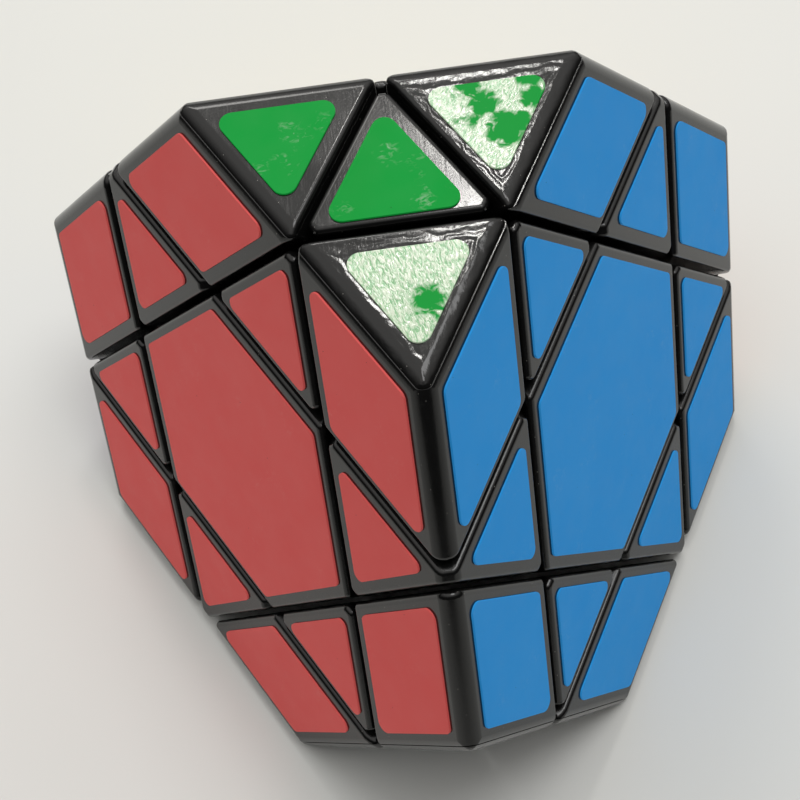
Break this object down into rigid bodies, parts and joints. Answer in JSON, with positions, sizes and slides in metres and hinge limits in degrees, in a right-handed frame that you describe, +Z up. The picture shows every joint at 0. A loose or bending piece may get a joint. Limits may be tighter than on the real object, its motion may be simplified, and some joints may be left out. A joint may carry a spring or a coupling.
{
  "type": "twisty puzzle",
  "caption": "Truncated-tetrahedron twisty puzzle with turning tip layers, black pieces and flat coloured stickers.",
  "frame": {"origin": "centre of the white base hexagon, on the outer face of its sticker, which is the surface that the puzzle stands on", "axes": "+Z up through the centre of the green triangle; -Y towards the grey tip, below the edge that the red and blue faces share; +X to the side of the blue face"},
  "size_m": [0.071, 0.0718, 0.0592],
  "materials": {
    "black_plastic": "moulded black ABS, satin with a light polish on the edges",
    "core_plastic": "moulded grey ABS",
    "steel": "zinc plated",
    "sticker_white": "white vinyl sticker",
    "sticker_red": "red vinyl sticker",
    "sticker_blue": "blue vinyl sticker",
    "sticker_yellow": "yellow vinyl sticker",
    "sticker_green": "green vinyl sticker",
    "sticker_orange": "orange vinyl sticker",
    "sticker_purple": "purple vinyl sticker",
    "sticker_grey": "grey vinyl sticker"
  },
  "bodies": {
    "root": {"core": "core_plastic", "screws": "steel", "washers": "steel", "springs": "steel", "centre_plugs": "black_plastic", "white_centre": "black_plastic", "red_centre": "black_plastic", "blue_centre": "black_plastic", "yellow_centre": "black_plastic", "edge_white_red": "black_plastic", "edge_white_blue": "black_plastic", "edge_white_yellow": "black_plastic", "edge_red_blue": "black_plastic", "edge_red_yellow": "black_plastic", "edge_blue_yellow": "black_plastic", "white_stickers": "sticker_white", "red_stickers": "sticker_red", "blue_stickers": "sticker_blue", "yellow_stickers": "sticker_yellow"},
    "green_tip": {"green_tip_point": "black_plastic", "green_tip_wings": "black_plastic", "green_tip_caps": "black_plastic", "green_tip_end_stickers": "sticker_green", "green_tip_corner_red_blue": "black_plastic", "green_tip_corner_blue_yellow": "black_plastic", "green_tip_corner_red_yellow": "black_plastic", "green_tip_yellow_stickers": "sticker_yellow", "green_tip_red_stickers": "sticker_red", "green_tip_blue_stickers": "sticker_blue"},
    "orange_tip": {"orange_tip_point": "black_plastic", "orange_tip_wings": "black_plastic", "orange_tip_caps": "black_plastic", "orange_tip_end_stickers": "sticker_orange", "orange_tip_corner_blue_yellow": "black_plastic", "orange_tip_corner_white_blue": "black_plastic", "orange_tip_corner_white_yellow": "black_plastic", "orange_tip_white_stickers": "sticker_white", "orange_tip_yellow_stickers": "sticker_yellow", "orange_tip_blue_stickers": "sticker_blue"},
    "purple_tip": {"purple_tip_point": "black_plastic", "purple_tip_wings": "black_plastic", "purple_tip_caps": "black_plastic", "purple_tip_end_stickers": "sticker_purple", "purple_tip_corner_red_yellow": "black_plastic", "purple_tip_corner_white_yellow": "black_plastic", "purple_tip_corner_white_red": "black_plastic", "purple_tip_white_stickers": "sticker_white", "purple_tip_red_stickers": "sticker_red", "purple_tip_yellow_stickers": "sticker_yellow"},
    "grey_tip": {"grey_tip_point": "black_plastic", "grey_tip_wings": "black_plastic", "grey_tip_caps": "black_plastic", "grey_tip_end_stickers": "sticker_grey", "grey_tip_corner_red_blue": "black_plastic", "grey_tip_corner_white_red": "black_plastic", "grey_tip_corner_white_blue": "black_plastic", "grey_tip_white_stickers": "sticker_white", "grey_tip_blue_stickers": "sticker_blue", "grey_tip_red_stickers": "sticker_red"}
  },
  "joints": [
    {"name": "green_tip_turn", "type": "hinge", "parent": "root", "child": "green_tip", "pos_m": [0, 0, 0.02225], "axis": [0, 0, 1], "continuous": true},
    {"name": "orange_tip_turn", "type": "hinge", "parent": "root", "child": "orange_tip", "pos_m": [0, 0, 0.02225], "axis": [0.8165, 0.4714, -0.3333], "continuous": true},
    {"name": "purple_tip_turn", "type": "hinge", "parent": "root", "child": "purple_tip", "pos_m": [0, 0, 0.02225], "axis": [-0.8165, 0.4714, -0.3333], "continuous": true},
    {"name": "grey_tip_turn", "type": "hinge", "parent": "root", "child": "grey_tip", "pos_m": [0, 0, 0.02225], "axis": [0, -0.9428, -0.3333], "continuous": true}
  ]
}
